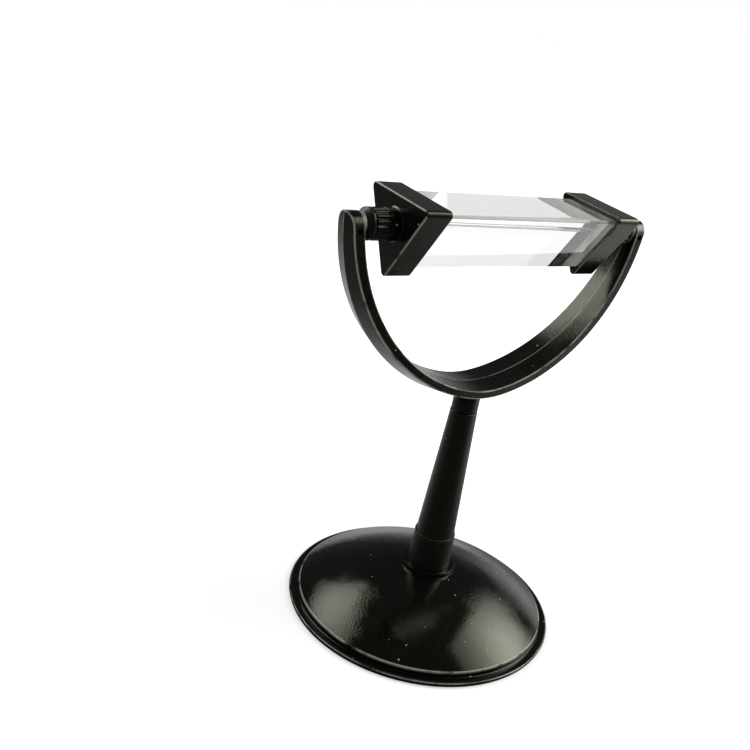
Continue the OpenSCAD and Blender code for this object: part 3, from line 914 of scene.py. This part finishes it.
def pale_floor():
    """A pale table. What the camera sees of it, itself or through the glass, is white but for the shadow."""
    size = 3.0
    corners = [(-size, -size, 0), (size, -size, 0), (size, size, 0), (-size, size, 0)]
    mesh = bpy.data.meshes.new("floor")
    mesh.from_pydata(corners, [], [(0, 1, 2, 3)])
    floor = bpy.data.objects.new("floor", mesh)
    bpy.context.scene.collection.objects.link(floor)
    made, graph, shader = material("pale_floor")
    where = place(graph)
    x, y, _ = graph.xyz(where)
    direct, through_glass = ray(graph, "Camera"), ray(graph, "Transmission", "Singular")
    mirrored_ray = ray(graph, "Glossy") * (1 - (direct + through_glass).clamp())
    # To the camera the table dims near the foot, where its shadow lies
    white = (direct * (0.52 + 0.48 * ease(graph, length(x, y), 0.07, 0.2)) + through_glass).clamp()
    # In a gloss the table is pale behind the stand and at its right, and dark elsewhere
    behind = ease(graph, y, 0.0, 0.1) * (0.22 + 0.78 * ease(graph, x, -0.14, 0.04))
    right = ease(graph, x, 0.0, 0.2) * ease(graph, y + x * 1.1, -0.05, 0.05) * 0.85
    lit = behind.math("MAXIMUM", right)
    glow = white + mirrored_ray * lit * 0.2
    tone = blend_colour(graph, noise(graph, where, 3, 2.0), (0.62, 0.62, 0.62, 1), (0.64, 0.64, 0.64, 1))
    set_sockets(graph, shader, {
        "Base Color": blend_colour(graph, mirrored_ray * (1 - lit), tone, (0.05, 0.05, 0.05, 1)),
        "Roughness": 0.9,
        "Specular IOR Level": 0.1,
        "Emission Color": blend_colour(graph, glow, (0, 0, 0, 1), (1, 1, 1, 1)),
        "Emission Strength": 1.0,
    })
    mesh.materials.append(made)


def white_room():
    """White to the camera, and through the glass too but for its top.

    A gloss shows it dark, with a pale backdrop low at the right."""
    world = bpy.data.worlds.new("white_room")
    bpy.context.scene.world = world
    world.use_nodes = True
    graph = Graph(world.node_tree)
    back = first_node(world.node_tree, "BACKGROUND")
    x, y, z = graph.xyz(graph.new("ShaderNodeTexCoord", output="Generated"))
    azimuth, elevation = y.math("ARCTAN2", x) * math.degrees(1), z.math("ARCSINE") * math.degrees(1)
    backdrop = ease(graph, azimuth, 40, 22) * 0.75 + ease(graph, azimuth, 75, 35) * 0.25
    backdrop = backdrop * ease(graph, azimuth, -52, -38) * ease(graph, elevation, 18, 10)
    strength = ray(graph, "Glossy").pick(0.3, 0.06 + 0.95 * backdrop)
    through = 1 - 0.7 * ease(graph, elevation, 32, 38)
    strength = ray(graph, "Transmission", "Singular").pick(strength, through)
    strength = ray(graph, "Camera").pick(strength, 1.0)
    set_sockets(graph, back, {"Color": (1, 1, 1, 1), "Strength": strength})


def soft_box(name, spot, distance, azimuth, elevation, roll, offset, size, glow):
    """A soft box whose sheet is turned to a spot from an azimuth and elevation, with a roll about that line.

    Offset and size are in units of its distance. glow takes its graph and its two coordinates, both 0 to 1,
    and gives its radiance."""
    lamp = bpy.data.lights.new(name, "AREA")
    lamp.shape, lamp.size, lamp.size_y = "RECTANGLE", size[0] * distance, size[1] * distance
    lamp.energy = math.pi * lamp.size * lamp.size_y
    azimuth, elevation, roll = map(math.radians, (azimuth, elevation, roll))
    level = math.cos(elevation)
    towards = Vector((level * math.cos(azimuth), level * math.sin(azimuth), math.sin(elevation)))
    right = Vector((0, 0, 1)).cross(towards).normalized()
    up = towards.cross(right)
    along = math.cos(roll) * right + math.sin(roll) * up
    over = math.cos(roll) * up - math.sin(roll) * right
    body = bpy.data.objects.new(name, lamp)
    body.location = Vector(spot) + distance * (towards + offset[0] * right + offset[1] * up)
    body.rotation_euler = Matrix((along, over, towards)).transposed().to_euler()
    bpy.context.scene.collection.objects.link(body)
    body.visible_camera = body.visible_transmission = False
    lamp.use_nodes = True
    graph = Graph(lamp.node_tree)
    u, v, _ = graph.xyz(graph.new("ShaderNodeNewGeometry", output="Parametric"))
    set_sockets(graph, first_node(lamp.node_tree, "EMISSION"), {"Strength": glow(graph, u, v)})


def hot_spot(x, y, spread):
    """1 in the middle and less with the distance from it"""
    return ((x * x + y * y) * (-0.5 / spread ** 2)).math("EXPONENT")


LEFT_BOX, RIGHT_BOX = (0.75, 0.41), (1.1, 0.95)


def left_glow(graph, u, v):
    """A soft glow with its lamp near the middle"""
    x, y = (u - 0.45) * LEFT_BOX[0], (v - 0.4) * LEFT_BOX[1]
    return 1.0 + 3.4 * hot_spot(x, y, 0.26)


def right_glow(graph, u, v):
    """A glow that is cut off along one slanting edge and fades out at another"""
    x, y = (1 - u) * RIGHT_BOX[0], v * RIGHT_BOX[1]
    cut_off = ease(graph, x - (y - 0.118) * 0.364 + 0.03, -0.01, 0.01)
    return (0.9 + 6.0 * hot_spot(x - 0.46, y - 0.36, 0.225)) * cut_off * ease(graph, u, 0.0, 0.3)


def photo_camera():
    """The camera whose view lays the part's outlines over those in the photo"""
    lens = bpy.data.cameras.new("camera")
    lens.sensor_width, lens.lens = 36.0, 48.684
    lens.shift_x, lens.shift_y = -0.09295, 0.00427
    lens.clip_start = 0.01
    body = bpy.data.objects.new("camera", lens)
    body.location = (-0.2236, -0.2380, 0.21889)
    turn = Euler((0, 0, math.radians(-41.63))).to_matrix() @ Euler((math.radians(68.50), 0, 0)).to_matrix()
    turn = turn @ Euler((0, 0, math.radians(12.86))).to_matrix()
    body.rotation_euler = turn.to_euler()
    bpy.context.scene.collection.objects.link(body)
    bpy.context.scene.camera = body


pale_floor()
white_room()
soft_box("left_soft_box", spot=(-0.042, -0.002, 0.01), distance=0.4, azimuth=112, elevation=50.5, roll=18,
         offset=(0.006, -0.018), size=LEFT_BOX, glow=left_glow)
soft_box("right_soft_box", spot=(0.0035, -0.04, 0.01), distance=0.75, azimuth=-10, elevation=45, roll=24,
         offset=(-0.176, -0.04), size=RIGHT_BOX, glow=right_glow)
photo_camera()
bpy.context.scene.view_settings.view_transform = "Standard"
